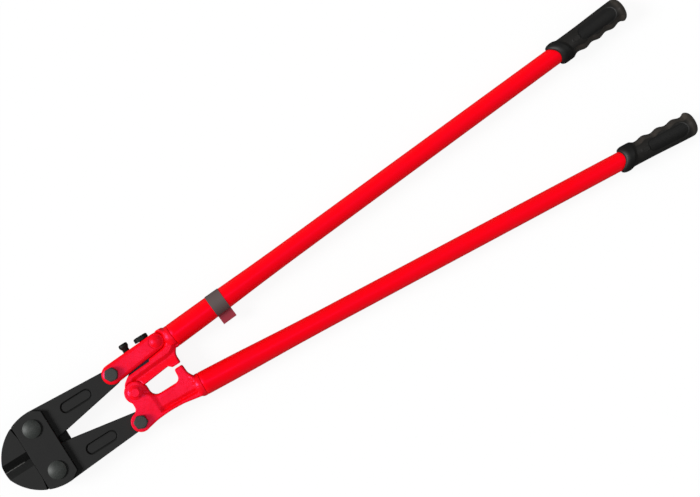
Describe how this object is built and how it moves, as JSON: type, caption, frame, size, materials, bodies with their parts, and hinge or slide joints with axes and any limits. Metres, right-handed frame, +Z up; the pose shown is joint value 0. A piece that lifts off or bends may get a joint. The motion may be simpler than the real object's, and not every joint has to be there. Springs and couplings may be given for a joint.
{
  "type": "bolt cutters",
  "caption": "Long-handled bolt cutters: black forged jaws between side plates, red castings with an adjuster link, tapered red tubes and black rubber grips.",
  "frame": {"origin": "on the centre pivot's axis, in the plane that the tool lies on: the flat end of the pivot bolt", "axes": "+X along the tool from the jaws to the grips, +Y across it towards the handle with the adjuster link, +Z up out of the surface the tool lies on"},
  "size_m": [1.2077, 0.2546, 0.0442],
  "materials": {
    "black_steel": "matt black heat-treated finish on forged steel",
    "dark_steel": "dark grey-green phosphate finish",
    "red_paint": "bright red gloss paint",
    "rubber": "moulded black rubber, slightly shiny where worn",
    "label": "dark brown-grey coated paper label"
  },
  "bodies": {
    "side_plates": {"top_side_plate": "black_steel", "bottom_side_plate": "black_steel", "upper_jaw_rivet": "dark_steel", "lower_jaw_rivet": "dark_steel"},
    "upper_jaw": {"upper_jaw": "black_steel"},
    "lower_jaw": {"lower_jaw": "black_steel"},
    "centre_pivot": {"pivot_bolt": "red_paint", "pivot_nut": "red_paint", "pivot_top_washer": "red_paint", "pivot_bottom_washer": "red_paint"},
    "upper_handle": {"upper_casting": "red_paint", "upper_tube": "red_paint", "upper_grip": "rubber", "label_band": "label", "link_rivet": "red_paint"},
    "lower_handle": {"lower_casting": "red_paint", "lower_tube": "red_paint", "lower_grip": "rubber", "lower_tail_bolt": "dark_steel", "lower_tail_nut": "dark_steel"},
    "adjuster": {"adjuster_link": "red_paint", "upper_tail_bolt": "dark_steel", "upper_tail_nut": "dark_steel"},
    "adjusting_screw": {"adjusting_screw": "dark_steel"},
    "locking_bolt": {"locking_bolt": "dark_steel"}
  },
  "joints": [
    {"name": "pivot_slide", "type": "slide", "parent": "side_plates", "child": "centre_pivot", "axis": [1, 0, 0], "range_m": [0, 0.0267]},
    {"name": "upper_handle_open", "type": "hinge", "parent": "centre_pivot", "child": "upper_handle", "pos_m": [0, 0, 0.0216], "axis": [0, 0, 1], "range_deg": [0, 44]},
    {"name": "lower_handle_open", "type": "hinge", "parent": "centre_pivot", "child": "lower_handle", "pos_m": [0, 0, 0.0216], "axis": [0, 0, -1], "range_deg": [0, 44]},
    {"name": "upper_jaw_open", "type": "hinge", "parent": "side_plates", "child": "upper_jaw", "pos_m": [-0.1623, 0.0369, 0.0216], "axis": [0, 0, -1], "range_deg": [0, 8.5]},
    {"name": "lower_jaw_open", "type": "hinge", "parent": "side_plates", "child": "lower_jaw", "pos_m": [-0.1623, -0.0369, 0.0216], "axis": [0, 0, 1], "range_deg": [0, 8.5]},
    {"name": "link_adjust", "type": "hinge", "parent": "upper_handle", "child": "adjuster", "pos_m": [0.0675, 0.05, 0.0216], "axis": [0, 0, -1], "range_deg": [0, 0.6]},
    {"name": "adjusting_screw_turn", "type": "hinge", "parent": "adjuster", "child": "adjusting_screw", "pos_m": [0.021, 0.06, 0.0216], "axis": [0, -1, 0], "range_deg": [0, 120]},
    {"name": "locking_bolt_turn", "type": "hinge", "parent": "upper_handle", "child": "locking_bolt", "pos_m": [0.05, 0.06, 0.0216], "axis": [0, 1, 0], "range_deg": [0, 360]}
  ],
  "couplings": [
    {"joint": "lower_handle_open", "follows": "upper_handle_open", "ratio": 1},
    {"joint": "pivot_slide", "follows": "upper_handle_open", "m_per_rad": 0.0344},
    {"joint": "upper_jaw_open", "follows": "upper_handle_open", "ratio": 0.1905},
    {"joint": "lower_jaw_open", "follows": "upper_handle_open", "ratio": 0.1905},
    {"joint": "adjusting_screw_turn", "follows": "link_adjust", "ratio": 200}
  ]
}
